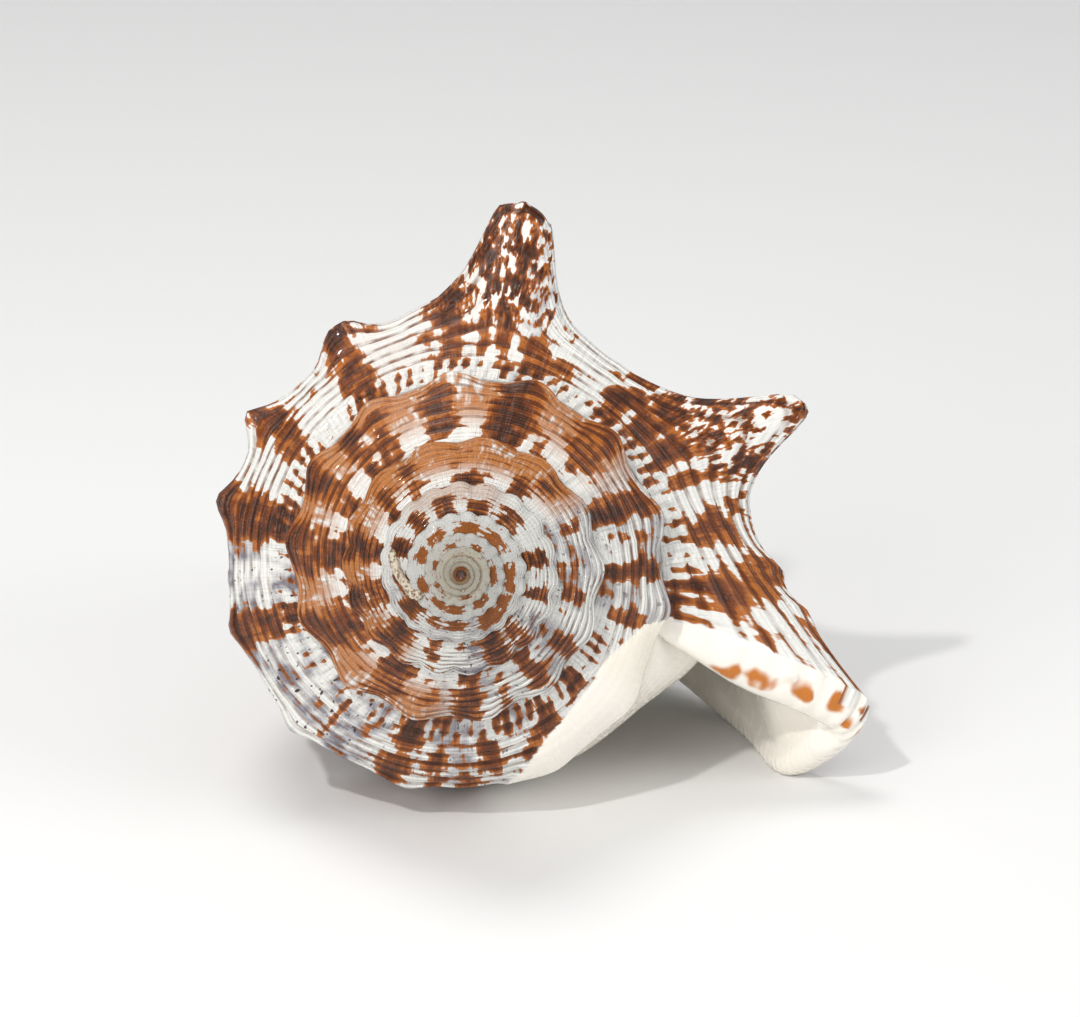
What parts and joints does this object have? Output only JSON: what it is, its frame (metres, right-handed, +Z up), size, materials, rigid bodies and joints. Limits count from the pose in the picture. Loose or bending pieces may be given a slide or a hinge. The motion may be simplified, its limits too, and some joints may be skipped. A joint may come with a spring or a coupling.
{
  "type": "conch shell",
  "caption": "Knobbed and spined conch shell with a flared lip, lying on its aperture side; a natural collectible to display or decorate with.",
  "frame": {"origin": "centre of the footprint box, on the surface that the shell rests on", "axes": "+Z up, -Y towards the spire's apex, +Y towards the canal, +X towards the flared outer lip"},
  "size_m": [0.0722, 0.0862, 0.0657],
  "materials": {
    "shell": "natural shell: brown flames and bars on white, satin outside, porcelain gloss at the lip"
  },
  "bodies": {
    "root": {"shell": "shell"}
  },
  "joints": []
}
